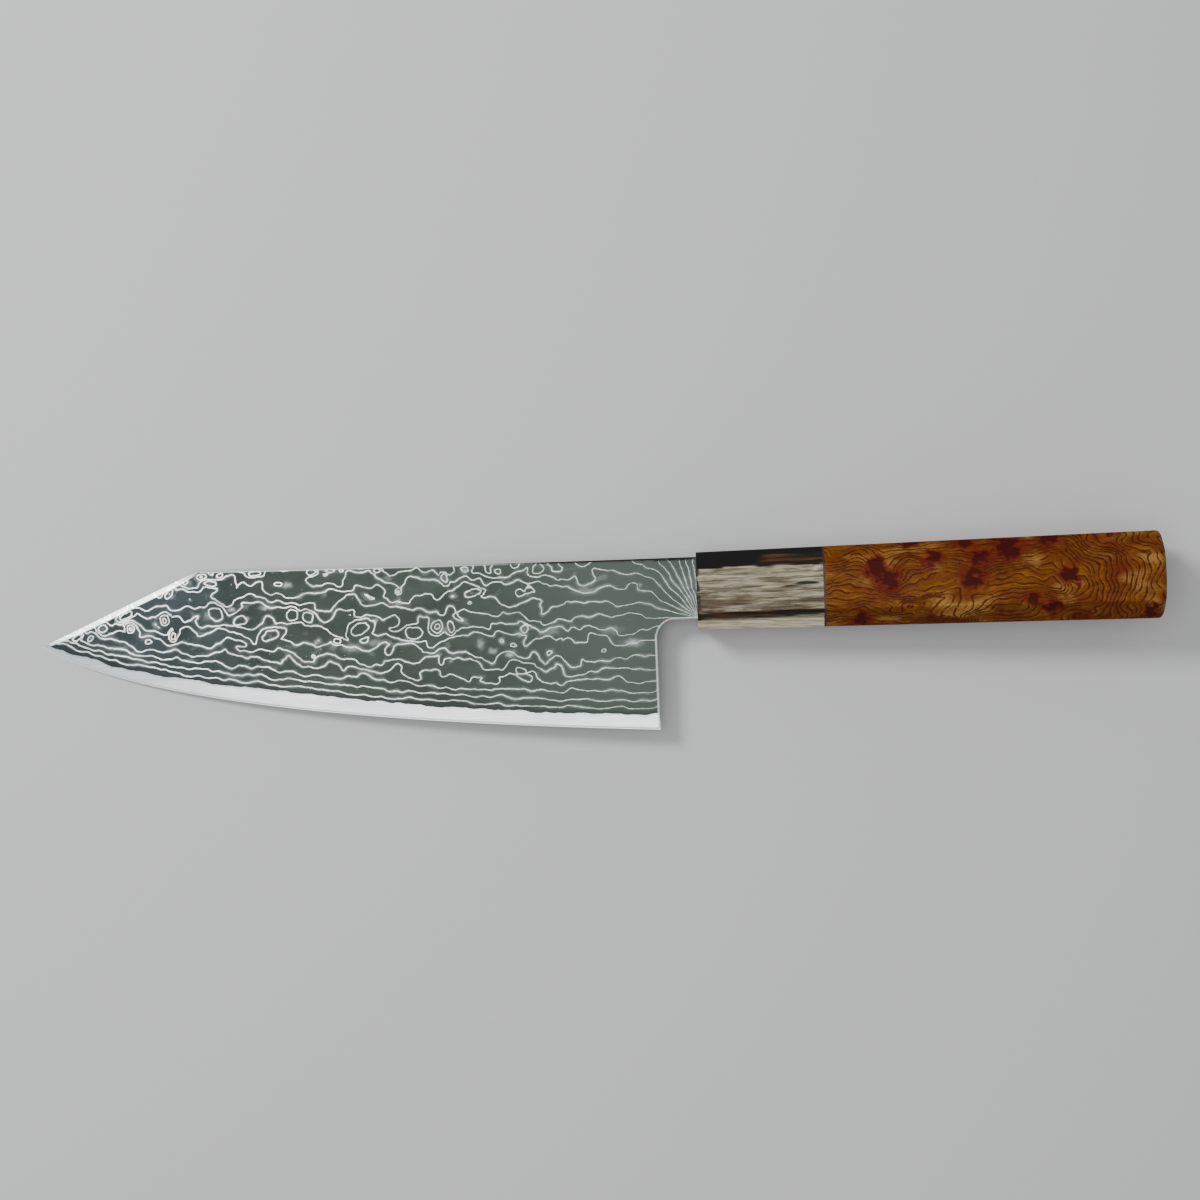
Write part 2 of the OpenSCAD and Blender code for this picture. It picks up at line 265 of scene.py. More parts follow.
def slab(us, vs, lows, highs, top_w, low_w, few):
    """Closed solid over a grid of columns us and rows vs. Between columns i and i+1 the rows
    lows[i]..highs[i] are solid. The upper face has every row, the lower only the rows in few.
    Returns points, faces, and for each face array its kind."""
    cols, rows = vs.shape
    grid = np.arange(cols * rows).reshape(cols, rows)
    under = {r: cols * rows + k * cols + np.arange(cols) for k, r in enumerate(few)}
    u2 = np.broadcast_to(us[:, None], vs.shape)
    points = [np.stack([u2, vs, top_w], -1).reshape(-1, 3)]
    points += [np.stack([us, vs[:, r], low_w[:, r]], -1) for r in few]
    points = np.concatenate(points)
    i, j = np.meshgrid(np.arange(cols - 1), np.arange(rows - 1), indexing="ij")
    on = (j >= lows[:, None]) & (j < highs[:, None])
    i, j = i[on], j[on]
    faces = [np.stack([grid[i, j], grid[i + 1, j], grid[i + 1, j + 1], grid[i, j + 1]], -1)]
    kinds = ["top"]
    k = np.arange(cols - 1)
    for a, b in zip(few[:-1], few[1:]):
        on = (a >= lows) & (b <= highs)
        c = k[on]
        faces.append(np.stack([under[a][c], under[b][c], under[b][c + 1], under[a][c + 1]], -1))
        kinds.append("low")
    for ends, kind in ((lows, "foot"), (highs, "back")):
        for r in few:
            c = k[ends == r]
            if len(c):
                quad = [under[r][c], under[r][c + 1], grid[c + 1, r], grid[c, r]]
                faces.append(np.stack(quad if kind == "foot" else quad[::-1], -1))
                kinds.append(kind)
    spans = [(0, 0), *zip(lows, highs), (0, 0)]
    for c, (left, right) in enumerate(zip(spans[:-1], spans[1:])):
        for a, b in zip(few[:-1], few[1:]):
            in_left, in_right = (low <= a and b <= high for low, high in (left, right))
            if in_left != in_right:
                side = list(grid[c, a : b + 1]) + [under[b][c], under[a][c]]
                faces.append(np.array([side[::-1] if in_left else side]))
                kinds.append("end")
    used = np.unique(np.concatenate([f.ravel() for f in faces]))
    place = np.full(len(points), -1)
    place[used] = np.arange(len(used))
    return points[used], [place[f] for f in faces], kinds


# -------- blade grid


NOTCHES = (18.0, 36.0, 54.0, 72.0)


def tang_half(u):
    """Half the height of the tang, with its notches for the resin."""
    half = TANG_ROOT + (TANG_END - TANG_ROOT) * u / TANG_L
    for mid in NOTCHES:
        half = half - 0.8 * np.clip((1.5 - np.abs(u - mid)) / 0.75, 0, 1)
    return half


def bottom_of_neck(u):
    reach = np.maximum(CHOIL_R**2 - (u - HEEL_U - CHOIL_R) ** 2, 0)
    return np.where(u < HEEL_U + CHOIL_R, NECK_V - CHOIL_R + np.sqrt(reach), NECK_V)


NECK_COLUMNS = [-11.97, -11.9, -11.78, -11.6, -11.35, -11.0, -10.6, -10.2]
NECK_COLUMNS = np.append(NECK_COLUMNS, np.linspace(-9.8, 0, 26))
NOTCH_COLUMNS = [mid + d for mid in NOTCHES for d in (-1.5, -0.75, 0.75, 1.5)]
TANG_COLUMNS = np.unique(np.concatenate([np.linspace(1.8, TANG_L, 50), NOTCH_COLUMNS]).round(4))
COLLAR_ROWS = np.array([1.12, 1.0, 0.88, 0.6, 0.3, 0.12, 0.0])


def blade_columns(first, spacing):
    count = int((-first - 12.3) / spacing)
    cols = np.linspace(first, -12.3, count)
    cols[np.argmin(np.abs(cols - SPLIT_U))] = SPLIT_U
    return np.concatenate([cols, [-12.2, -12.11, -12.05, -12.0]])


def cladding_slab():
    """Grid of the cladding on the +W side, with the kind of each of its face arrays."""
    tries = np.linspace(-190, -180, 2001)
    first = tries[np.argmax(back_v(tries) - border_v(tries) > 0.12)]
    blade = blade_columns(first, 0.45)
    us = np.concatenate([blade, NECK_COLUMNS, TANG_COLUMNS])
    n_blade, n_neck = len(blade), len(blade) + len(NECK_COLUMNS)
    top = back_v(us)
    low = border_v(np.minimum(us, HEEL_U))
    low[n_blade:n_neck] = bottom_of_neck(NECK_COLUMNS)
    wide = np.where(us < HEEL_U, np.minimum(collar(us), (top - low) / 2.5), collar(us))
    wide = wide / np.cos(np.arctan(BACK_SLOPE) * angled(us))
    # shares of the height at the heel where the choil, the tang's two sides and the collar begin
    heel_low, heel_top = float(border_v(np.array([HEEL_U]))[0]), SPINE_V - COLLAR_ROWS[0] * EASE_R
    at_choil = (NECK_V - CHOIL_R - heel_low) / (heel_top - heel_low)
    at_tang = [(v - NECK_V) / (heel_top - NECK_V) for v in (-TANG_ROOT, TANG_ROOT)]
    marks = [0, at_choil] + [at_choil + (1 - at_choil) * t for t in at_tang] + [1.0]
    t, stops = [0.0], []
    for a, b in zip(marks[:-1], marks[1:]):
        count = max(2, round((b - a) * 98))
        t += list(a + (b - a) * np.arange(1, count + 1) / count)
        stops.append(len(t) - 1)
    t = np.array(t)
    choil_row, tang_low, tang_high, collar_row = stops
    rows = len(t) + len(COLLAR_ROWS) - 1
    neck_t = np.clip((t - at_choil) / (1 - at_choil), 0, 1)
    share = np.where((np.arange(len(us)) < n_blade)[:, None], t, neck_t)
    vs = np.empty((len(us), rows))
    upper = top - COLLAR_ROWS[0] * wide
    vs[:, : len(t)] = low[:, None] + share * (upper - low)[:, None]
    vs[:, len(t) - 1 :] = top[:, None] - COLLAR_ROWS * wide[:, None]
    across = np.clip((np.arange(rows) - tang_low) / (tang_high - tang_low), 0, 1)
    vs[n_neck:] = tang_half(us[n_neck:])[:, None] * (2 * across - 1)
    gap = np.arange(len(us) - 1)
    lows = np.where(gap < n_blade - 1, 0, np.where(gap < n_neck - 1, choil_row, tang_low))
    highs = np.where(gap < n_neck - 1, rows - 1, tang_high)
    few = {0, 1, 2, 3, 5, choil_row, tang_low, tang_high, collar_row, rows - 1, rows - 4}
    few |= set(range(8, rows - 6, 9))
    u2 = np.broadcast_to(us[:, None], vs.shape)
    inner = core_half(u2, vs)
    inner[n_neck:] = CORE_HALF
    return slab(us, vs, lows, highs, half_thickness(u2, vs), inner, sorted(few))


MAP_SCALE = 0.0098


def map_corners(place, points, faces, kinds):
    """Map of a slab's face corners. place gives X and Y for the corners of one kind."""
    spots = [place(*np.moveaxis(points[face], -1, 0), kind) for face, kind in zip(faces, kinds)]
    return np.concatenate([np.stack(xy, -1).reshape(-1, 2) for xy in spots])


def on_cladding(u, v, w, kind):
    """The outer face goes in two rows, the rest in what is left."""
    w, mid = np.abs(w), u.mean(axis=1, keepdims=True)
    front, tang = mid < SPLIT_U, mid > 0
    x = np.where(front, u - TIP_U - 5, np.where(tang, u, u - SPLIT_U)) * MAP_SCALE + 0.008
    if kind == "top":
        y = np.where(front, (v + 36) * MAP_SCALE + 0.452, (v + 36.8) * MAP_SCALE + 0.004)
        y = np.where(tang, (v + 5) * MAP_SCALE * 0.45 + 0.945, y)
    elif kind == "low":
        x, y = 0.885 + (v + 36) * MAP_SCALE * 0.22, 0.47 + (u - TIP_U) * MAP_SCALE * 0.13
    elif kind == "end":
        x, y = 0.9 + (v + 40) * MAP_SCALE * 0.15, 0.955 + w * MAP_SCALE
    else:
        y = {"back": 0.918, "foot": 0.9288}[kind] + np.where(front, 0, 0.006) + w * 0.004
    return x, y


# seeds of the two sides; the second side mirrors the first one's eyes and smears end for end
LEFT_SEED, RIGHT_SEED = 11, 53
MIRROR = TIP_U + HEEL_U
EYES = [
    # closed rings in the pattern: U, V, half length, half height, turn in degrees, rings
    (-173.8, -4.6, 1.2, 1.15, 0, 1), (-165.8, -5.2, 1.1, 1.15, 0, 2), (-155.8, -3.0, 1.25, 1.5, 10, 2),
    (-153.2, -7.6, 0.7, 0.9, 20, 1), (-154.0, 4.7, 1.5, 0.75, 50, 1), (-166.9, -1.2, 1.9, 0.8, 25, 1),
    (-181.8, -7.0, 1.3, 0.6, 35, 1), (-144.3, 9.4, 1.4, 0.9, 0, 2), (-141.6, 7.3, 1.6, 0.8, -5, 1),
    (-139.0, 9.6, 1.0, 0.6, 0, 1), (-140.6, -1.8, 1.8, 2.1, 0, 1), (-128.6, 9.7, 1.5, 0.6, 0, 1),
    (-118.1, -2.8, 1.8, 1.5, 0, 1), (-113.3, -3.7, 1.7, 1.4, 0, 1), (-124.6, -8.4, 2.6, 1.5, 20, 1),
    (-112.3, 9.6, 1.3, 0.8, 0, 1), (-106.5, 9.7, 1.2, 0.5, 0, 1), (-98.4, -7.4, 2.6, 1.7, 30, 1),
    (-82.6, -9.2, 2.6, 1.5, 0, 1), (-75.9, -7.5, 1.6, 1.8, 0, 2), (-71.8, -7.6, 1.0, 1.6, 10, 1),
    (-92.6, 9.5, 1.0, 0.6, 0, 1), (-73.0, 6.3, 0.8, 1.3, 25, 1), (-64.9, 1.8, 2.3, 0.9, 15, 1),
    (-50.4, -9.2, 1.3, 0.8, 10, 1), (-67.0, 8.6, 0.9, 0.7, 0, 1), (-57.2, 7.9, 1.0, 0.7, 0, 1),
    (-160.6, -8.9, 0.9, 0.7, 0, 1), (-148.8, 8.0, 0.8, 0.6, 40, 1), (-177.6, -7.4, 0.9, 0.6, 20, 1),
    (-105.0, -10.6, 0.9, 0.7, 0, 1), (-45.6, 8.2, 1.6, 1.3, 0, 1), (-86.8, 3.1, 0.5, 0.5, 0, 1),
]  # fmt: skip
SMEARS = [
    # pale smears between the lines: U, V, half length, half height, strength
    (-119.0, 6.1, 1.2, 0.8, 0.8), (-135.8, -0.5, 1.0, 0.7, 0.9), (-131.0, -3.2, 0.9, 0.5, 0.6),
    (-125.6, -0.3, 1.8, 0.6, 0.9), (-111.4, -11.0, 0.6, 0.5, 0.8), (-93.8, -5.2, 0.6, 0.6, 0.9),
    (-143.0, -2.0, 1.2, 1.4, 0.3), (-115.6, 2.3, 0.9, 0.5, 0.5), (-101.0, -13.0, 2.6, 1.2, 0.45),
    (-94.0, -11.6, 2.4, 1.0, 0.35), (-54.6, -16.2, 1.6, 0.9, 0.75), (-59.8, -15.2, 1.2, 0.8, 0.5),
    (-63.2, -13.0, 0.9, 1.6, 0.45), (-19.0, -14.2, 2.6, 1.2, 0.6), (-51.6, -10.6, 1.8, 0.8, 0.5),
    (-86.6, 0.0, 0.7, 1.0, 0.5), (-67.2, 8.4, 1.2, 1.0, 0.5), (-25.0, -10.4, 3.0, 1.2, 0.25),
    (-106.6, -12.0, 1.2, 1.4, 0.3), (-72.0, -17.6, 0.5, 0.4, 0.6), (-161.5, -7.4, 2.4, 1.0, 0.25),
    (-169.0, -10.6, 2.0, 0.8, 0.3), (-149.0, -15.0, 2.2, 0.7, 0.25), (-16.4, 2.4, 0.5, 0.5, 0.5),
    (-42.5, -10.2, 2.6, 1.1, 0.2), (-84.0, -11.8, 2.2, 0.8, 0.3), (-33.0, 1.2, 3.0, 1.0, 0.25),
]  # fmt: skip


def layered(u, v, seed):
    """Height field of the layered steel without its eyes."""
    u0, v0 = u, v
    # towards the neck the layers run together at its lower corner
    above = np.maximum(v - NECK_V, 0)
    turn = np.arctan2(above, np.maximum(0.5 - u, 0.5))
    fan = 19.5 * turn * (1 + 0.3 * (turn / 1.57) ** 2)
    lifted = above + (fan - above) * step(-u, 21, 7)
    v = np.where(v > NECK_V, NECK_V + lifted, v)
    # at the heel the lines hook up
    v = v - 1.5 * np.exp(-np.maximum(HEEL_U - u, 0) / 0.65) * step(NECK_V - 2 - v0, 0, 4)
    from_border = v0 - edge_v(u0) - band_h(u0)
    tip = np.clip((-118 - u0) / 45, 0, 1)
    rough = (0.35 + 0.35 * tip) + (0.65 - 0.35 * tip) * np.clip(from_border / 9.0, 0, 1)
    calm = 1 - 0.75 * np.clip((u0 + 34) / 26, 0, 1)
    wu = 0.7 * noise(u0 / 2.5, v0 / 2.1, 0.3, seed + 1) + 2.0 * noise(u0 / 6.0, v0 / 4.5, 1.3, seed + 2)
    wv = 0.75 * noise(u0 / 2.0, v0 / 2.4, 2.3, seed + 3) + 1.0 * noise(u0 / 4.4, v0 / 4.0, 4.3, seed + 8)
    wu, wv = rough * calm * wu, rough * calm * wv
    x = u0 + wu
    db = v - (edge_v(u0) + band_h(u0)) + 0.8 * wv
    lumps = 1.5 * noise(u0 / 4.6, db / 4.5, 6.1, seed + 9)
    lumps = lumps + 0.5 * noise(u0 / 2.1, db / 3.5, 2.7, seed + 10)
    db = db + calm * lumps * (0.75 + 0.25 * tip)
    gap, grow = np.interp(u0, [-180, -140, -100, -12], [1.4, 1.85, 2.0, 2.1]), 0.13
    high = db - 1.7
    rise = np.maximum(high, 0)
    base = np.log1p(np.minimum(rise, 15) * grow / gap) / grow
    base = base + np.maximum(rise - 15, 0) / (gap + 15 * grow) + np.maximum(np.minimum(high, 0) / gap, -0.5)
    amp = 0.06 + 1.0 * (1 - np.exp(-((np.maximum(high, 0) / 6.0) ** 2)))
    amp = amp * (1 - 0.6 * np.clip((u0 + 40) / 28, 0, 1))
    y = v0 + wv
    n = 1.3 * noise(x / 15, y / 7.5, 0, seed + 4) + 1.4 * noise(x / 7.0, y / 4.8, 0, seed + 5)
    n = n + 1.0 * noise(x / 3.9, y / 3.1, 0, seed + 6)
    return base + amp * n + 1.0, wu, wv


def levels(u, v, seed):
    """Height field of the layered steel. A bright line runs where it is a whole number."""
    f, wu, wv = layered(u, v, seed)
    eyes = EYES if seed == LEFT_SEED else [(MIRROR - a, b - 9 * (b > 8), *c) for a, b, *c in EYES]
    for eu, ev, ru, rv, turn, rings in eyes:
        near = np.hypot(u - eu, v - ev) < 3.2 * max(ru, rv)
        here = np.floor(layered(np.array([eu]), np.array([ev]), seed)[0][0])
        a = u[near] + 0.45 * wu[near] - eu
        b = v[near] + 0.45 * wv[near] - ev
        c, s = math.cos(math.radians(turn)), math.sin(math.radians(turn))
        small = min(ru, rv)
        ragged = noise(u[near] / (1.1 * small), v[near] / (1.1 * small), eu, seed + 20)
        ragged = ragged + 0.3 * noise(u[near] / 0.9, v[near] / 0.9, ev, 77)
        q = np.hypot((a * c + b * s) / ru, (b * c - a * s) / rv) + 0.36 * ragged
        local = here + 1 + np.maximum(1 - q, -0.5) * (1.75 if rings == 2 else 0.85)
        share = step(-q, -2.1, -1.2)
        f[near] = f[near] + (local - f[near]) * share
    return f


def layer_fields(points, seed):
    u, v = points[:, 0], points[:, 1]
    f = levels(u, v, seed)
    h = 0.08
    g = np.hypot(levels(u + h, v, seed) - f, levels(u, v + h, seed) - f) / h
    away = to_back(u, v)
    swage = step(collar(u) - away, -0.06, 0.06) * (u < 0)
    swage = swage * np.where(u < -ANGLED_FROM, 1.0, 0.75 - 0.4 * step(u, -75, -45))
    rim = step(-to_heel_side(u, v), -0.55, -0.2)
    near = step(1.6 - (v - border_v(u)), 0, 1.0) * (u < HEEL_U)
    smear = np.zeros(len(u))
    su, sv = u + 0.9 * noise(u / 1.3, v / 1.1, 3.3, 61), v + 0.7 * noise(u / 1.2, v / 1.0, 5.3, 62)
    for mu, mv, ru, rv, strong in SMEARS:
        mu = mu if seed == LEFT_SEED else MIRROR - mu
        q = ((su - mu) / ru) ** 2 + ((sv - mv) / rv) ** 2
        smear = np.maximum(smear, strong * np.exp(-1.5 * q))
    # dark forge scale left along the spine near the handle
    scale = 0.8 * step(u, -80, -15) + 0.35 * noise(u / 1.8, 0.5, 0.5, 63) - away
    scale = step(scale, -0.05, 0.2) * step(u, -75, -60) * (u < 0)
    polish = np.maximum(swage * (1 - scale), 0.9 * rim)
    return {"layer": f, "slope": g, "polish": polish, "border": near, "smear": smear, "scale": scale}


# -------- handle rings


FLAT_STEPS = (10, 11, 16, 11, 20, 11, 16, 11, 10)


def between(a, b, count):
    """The points that part the way from a to b in count steps, without its ends."""
    return [(a[0] + (b[0] - a[0]) * q / count, a[1] + (b[1] - a[1]) * q / count) for q in range(1, count)]


def octagon(u, inset=0.0, soft=0.5):
    """Rounded octagon of the handle at u, from the middle of its lower side round by +V."""
    h, w = handle_size(u)
    hv, hw = h / 2 - soft - inset, w / 2 - soft - inset
    diag = (h + w) / 2 - CHAMFER - (soft + inset) * math.sqrt(2)
    corners = [
        (diag - hw, -hw), (hv, hv - diag), (hv, diag - hv), (diag - hw, hw),
        (hw - diag, hw), (-hv, diag - hv), (-hv, hv - diag), (hw - diag, -hw),
    ]  # fmt: skip
    start = (0.0, -hw - soft)
    path = [start]
    for k, (cv, cw) in enumerate(corners):
        turns = np.radians(45 * k - 90 + 45 * np.arange(5) / 4)
        arc = [(cv + soft * math.cos(a), cw + soft * math.sin(a)) for a in turns]
        path += between(path[-1], arc[0], FLAT_STEPS[k]) + arc
    return np.array(path + between(path[-1], start, FLAT_STEPS[8]))


def ring(u, outline):
    u = np.broadcast_to(u, len(outline))
    return np.column_stack([u, outline])


def tube(rings, closed):
    """Closed solid from rings of equal length. Without closed, its two ends meet in points.
    Returns points, faces, and for each corner of each face its ring and its place on that ring."""
    n, last = len(rings[0]), len(rings) - 1
    k = np.arange(n)
    m = (k + 1) % n

    def spot(r, place):
        return np.stack([np.full(n, r), place], -1)

    points, faces, spots = list(rings), [], []
    for a, b in [(i, i + 1) for i in range(last)] + ([(last, 0)] if closed else []):
        faces.append(np.stack([a * n + k, a * n + m, b * n + m, b * n + k], -1))
        spots.append(np.stack([spot(a, k), spot(a, k + 1), spot(b, k + 1), spot(b, k)], 1))
    for end, r in () if closed else enumerate((0, last)):
        points.append(rings[r].mean(0, keepdims=True))
        corners = [r * n + k, r * n + m, np.full(n, (last + 1) * n + end)]
        at = [spot(r, k), spot(r, k + 1), np.full((n, 2), -1)]
        order = (0, 1, 2) if end else (1, 0, 2)
        faces.append(np.stack([corners[q] for q in order], -1))
        spots.append(np.stack([at[q] for q in order], 1))
    return np.concatenate(points), faces, spots


def shrunk(outline, shape, share):
    return outline + (shape - outline) * share


def circle_for(outline, radius):
    angle = np.arctan2(outline[:, 1], outline[:, 0])
    return radius * np.column_stack([np.cos(angle), np.sin(angle)])


def slot_for(outline, half_v, half_w):
    angle = np.arctan2(outline[:, 1], outline[:, 0])
    c, s = np.cos(angle), np.sin(angle)
    reach = 1 / np.maximum(np.abs(c) / half_v, np.abs(s) / half_w)
    p = reach[:, None] * np.column_stack([c, s])
    for sv in (-1, 1):
        for sw in (-1, 1):
            corner = np.array([sv * half_v, sw * half_w])
            p[np.argmin(np.hypot(*(p - corner).T))] = corner
    return p


# -------- wood and antler fields

KNOTS = [
    # U, V, length, height, strength
    (51.2, 4.6, 2.3, 2.6, 1.0), (54.6, 1.0, 2.4, 2.6, 1.0), (61.0, 11.2, 2.4, 1.3, 0.9),
    (67.4, 6.8, 2.4, 1.7, 1.0), (76.2, 11.4, 2.6, 1.6, 0.9), (80.3, 6.4, 2.6, 2.0, 0.95),
    (78.2, 1.2, 3.0, 2.6, 1.0), (46.6, -10.0, 2.6, 1.8, 0.9), (88.3, 9.4, 2.9, 3.0, 1.0),
    (100.0, 11.6, 3.0, 1.9, 0.9), (105.4, 0.6, 2.2, 2.0, 1.0), (94.8, -5.6, 2.3, 1.4, 0.85),
    (100.2, -8.0, 2.7, 1.6, 0.9), (107.4, -10.8, 2.0, 1.4, 0.8), (127.6, -10.3, 2.3, 1.7, 0.85),
    (84.0, 12.3, 2.2, 1.4, 0.7), (71.5, 13.0, 2.0, 1.2, 0.7), (58.0, -12.4, 2.2, 1.2, 0.6),
]  # fmt: skip


def wood_fields(points):
    """Growth lines, knots, red heartwood and pale patches of the burl."""
    u, v, w = points.T

    def n(s, su, sv, sw=None):
        return noise(u / su, v / sv, w / (sw or sv) + 0.37, 31 + s)

    bu = u + 3.0 * n(1, 9, 7) + 1.7 * n(2, 3.6, 3.2)
    bv = v + 2.4 * n(3, 11, 8) + 1.3 * n(4, 4.0, 3.0)
    right = np.maximum(bu - 100, 0) / 1.7
    across = (bv + 1.5) / 1.2
    r = np.sqrt(right**2 + across**2 + ((w - 9) / 3.2) ** 2 + 0.3)
    # on the left the lines run along the handle, on the right they ring a heart
    r = across + (r - across) * step(bu + 0.8 * v, 56, 74)
    # slanting lines low on the left and high on the right
    r = r + blob(u, v, 53, -8.0, 7.5, 4.5) * (u - 53) * 0.6
    r = r - blob(u, v, 44, 8.0, 5.5, 3.5) * (u - 44) * 0.4
    r = r + blob(u, v, 107, 9.5, 6.5, 3.5) * (u - 107) * 0.45
    # arcs behind the double knot
    r = r + 3.2 * blob(bu, bv, 55, 2.0, 6.5, 5.5)
    r = r + 3.2 * n(5, 22, 12) + 1.9 * n(6, 9, 6.5) + 0.75 * n(7, 4.2, 3.4)
    # a patch low in the middle where the lines stand upright, like flames
    from_patch = np.hypot((u - 71) / 12.5, (v + 6.9) / 3.7)
    patch = step(1.2 - from_patch + 0.25 * n(17, 5, 4), 0.0, 0.6) * step(w, 2, 6)
    upright = (bu * 0.6 + u * 0.4 - 71) / 3.3 - 0.2 * (v + 6.9) + 0.45 * n(18, 4, 3)
    r = r + patch * (upright - r)
    knot = np.zeros(len(u))
    ru = u + 3.5 * n(8, 2.7, 2.2) + 1.5 * n(9, 1.3, 1.2)
    rv = v + 2.8 * n(10, 2.5, 2.1) + 1.4 * n(11, 1.2, 1.2)
    for ku, kv, lu, lv, strong in KNOTS:
        q = ((bu * 0.5 + u * 0.5 - ku) / lu) ** 2 + ((bv * 0.5 + v * 0.5 - kv) / lv) ** 2
        ragged = ((ru - ku) / lu) ** 2 + ((rv - kv) / lv) ** 2
        far = np.exp(-np.maximum(4.0 - w, 0) / 3.0)
        r = r + 2.2 * strong * far * np.exp(-q / 2.8)
        knot = np.maximum(knot, strong * far * np.exp(-(ragged**0.85) / 1.55))
    # the knot in the middle has a lighter heart
    knot = knot - 0.75 * blob(u, v, 78.6, 1.6, 0.9, 0.7) * step(w, 5, 8)
    # more knots of the same kind on the sides that are out of sight
    back = noise(u / 7.5, v / 4.5, w / 4.5, 71) + 0.25 * n(9, 1.3, 1.2)
    knot = np.clip(np.maximum(knot, 0.85 * step(back, 0.28, 0.6) * step(3.0 - w, 0, 4)), 0, 1)
    lines = 0.62 + 1.2 * n(12, 5, 3) + 0.7 * n(16, 1.8, 1.4) + 0.25 * hump(u, 116, 9)
    lines = np.maximum(lines, 0) + 0.5 * patch * step(v, -9.5, -4.0)
    red = 0.35 + 1.2 * n(13, 13, 6) + 0.6 * n(14, 4, 3) + 0.7 * hump(bu, 118, 2.8)
    red = red + 0.5 * blob(u, v, 86, 8, 14, 5)
    pale = 0.15 + 1.3 * n(15, 9, 4) + 0.35 * hump(u, 127, 4.5)
    pale = pale + 0.5 * blob(u, v, 74, -6.5, 9, 3) - 0.3 * knot
    return {"grain": r, "knot": knot, "lines": lines, "red": red, "pale": pale}


def slopes(field, points, h=0.1):
    """Steepness of a field of the handle, in levels a millimetre."""
    f = field(points)
    total = 0
    for axis in range(3):
        moved = points.copy()
        moved[:, axis] += h
        total = total + ((field(moved) - f) / h) ** 2
    return np.sqrt(total)


# -------- material helpers


class Nodes:
    def __init__(self, name):
        self.material = bpy.data.materials.new(name)
        self.material.use_nodes = True
        self.tree = self.material.node_tree
        self.shader = self.tree.nodes["Principled BSDF"]

    def set(self, socket, value):
        if isinstance(value, bpy.types.NodeSocket):
            self.tree.links.new(value, socket)
        else:
            socket.default_value = value

    def node(self, kind, inputs=(), **settings):
        n = self.tree.nodes.new(kind)
        for key, value in settings.items():
            setattr(n, key, value)
        for key, value in dict(inputs).items():
            self.set(n.inputs[key], value)
        return n

    def math(self, operation, a, b=0.0):
        return self.node("ShaderNodeMath", {0: a, 1: b}, operation=operation).outputs[0]

    def times(self, a, b):
        return self.math("MULTIPLY", a, b)

    def plus(self, a, b):
        return self.math("ADD", a, b)

    def minus(self, a, b):
        return self.math("SUBTRACT", a, b)

    def field(self, name):
        return self.node("ShaderNodeAttribute", attribute_name=name).outputs["Fac"]

    def ramp(self, value, low, high, to_low=0.0, to_high=1.0, kind="SMOOTHSTEP"):
        n = self.node("ShaderNodeMapRange", {0: value, 1: low, 2: high, 3: to_low, 4: to_high})
        n.interpolation_type = kind
        return n.outputs[0]

    def linear(self, value, low, high, to_low=0.0, to_high=1.0):
        return self.ramp(value, low, high, to_low, to_high, "LINEAR")

    def line_distance(self, levels, slope, least):
        """Distance in millimetres to where levels is a whole number."""
        return self.math("DIVIDE", self.math("PINGPONG", levels, 0.5), self.math("MAXIMUM", slope, least))

    def place(self, scale):
        at = self.node("ShaderNodeTexCoord").outputs["Object"]
        return self.node("ShaderNodeMapping", {"Vector": at, "Scale": scale}).outputs[0]

    def xyz(self):
        at = self.node("ShaderNodeTexCoord").outputs["Object"]
        return self.node("ShaderNodeSeparateXYZ", {0: at}).outputs

    def noise(self, scale, detail=2.0, rough=0.5, warp=0.0):
        """Noise at scale cells a metre along X, Y and Z."""
        inputs = {"Vector": self.place(scale), "Scale": 1.0, "Detail": detail}
        inputs.update({"Roughness": rough, "Distortion": warp})
        return self.node("ShaderNodeTexNoise", inputs).outputs["Fac"]

    def mix(self, share, a, b):
        n = self.node("ShaderNodeMix", data_type="RGBA")
        self.set(n.inputs[0], share)
        for socket, value in ((n.inputs[6], a), (n.inputs[7], b)):
            self.set(socket, (*value, 1.0) if isinstance(value, tuple) else value)
        return n.outputs[2]

    def tint(self, base, mask, low, high, share, color):
        """Base with color mixed in, up to share where the mask has gone from low to high."""
        return self.mix(self.ramp(mask, low, high, 0.0, share), base, color)

    def bump(self, height, strength, distance):
        n = self.node("ShaderNodeBump", {"Strength": strength, "Distance": distance, "Height": height})
        self.set(self.shader.inputs["Normal"], n.outputs[0])

    def use(self, **values):
        names = {"color": "Base Color", "metal": "Metallic", "rough": "Roughness"}
        names["spec"] = "Specular IOR Level"
        for key, value in values.items():
            self.set(self.shader.inputs[names[key]], value)
        return self.material


def srgb(r, g, b):
    """A colour given as it should look, 0 to 255, as light."""
    return tuple(((c / 255 + 0.055) / 1.055) ** 2.4 if c > 10 else c / 255 / 12.92 for c in (r, g, b))


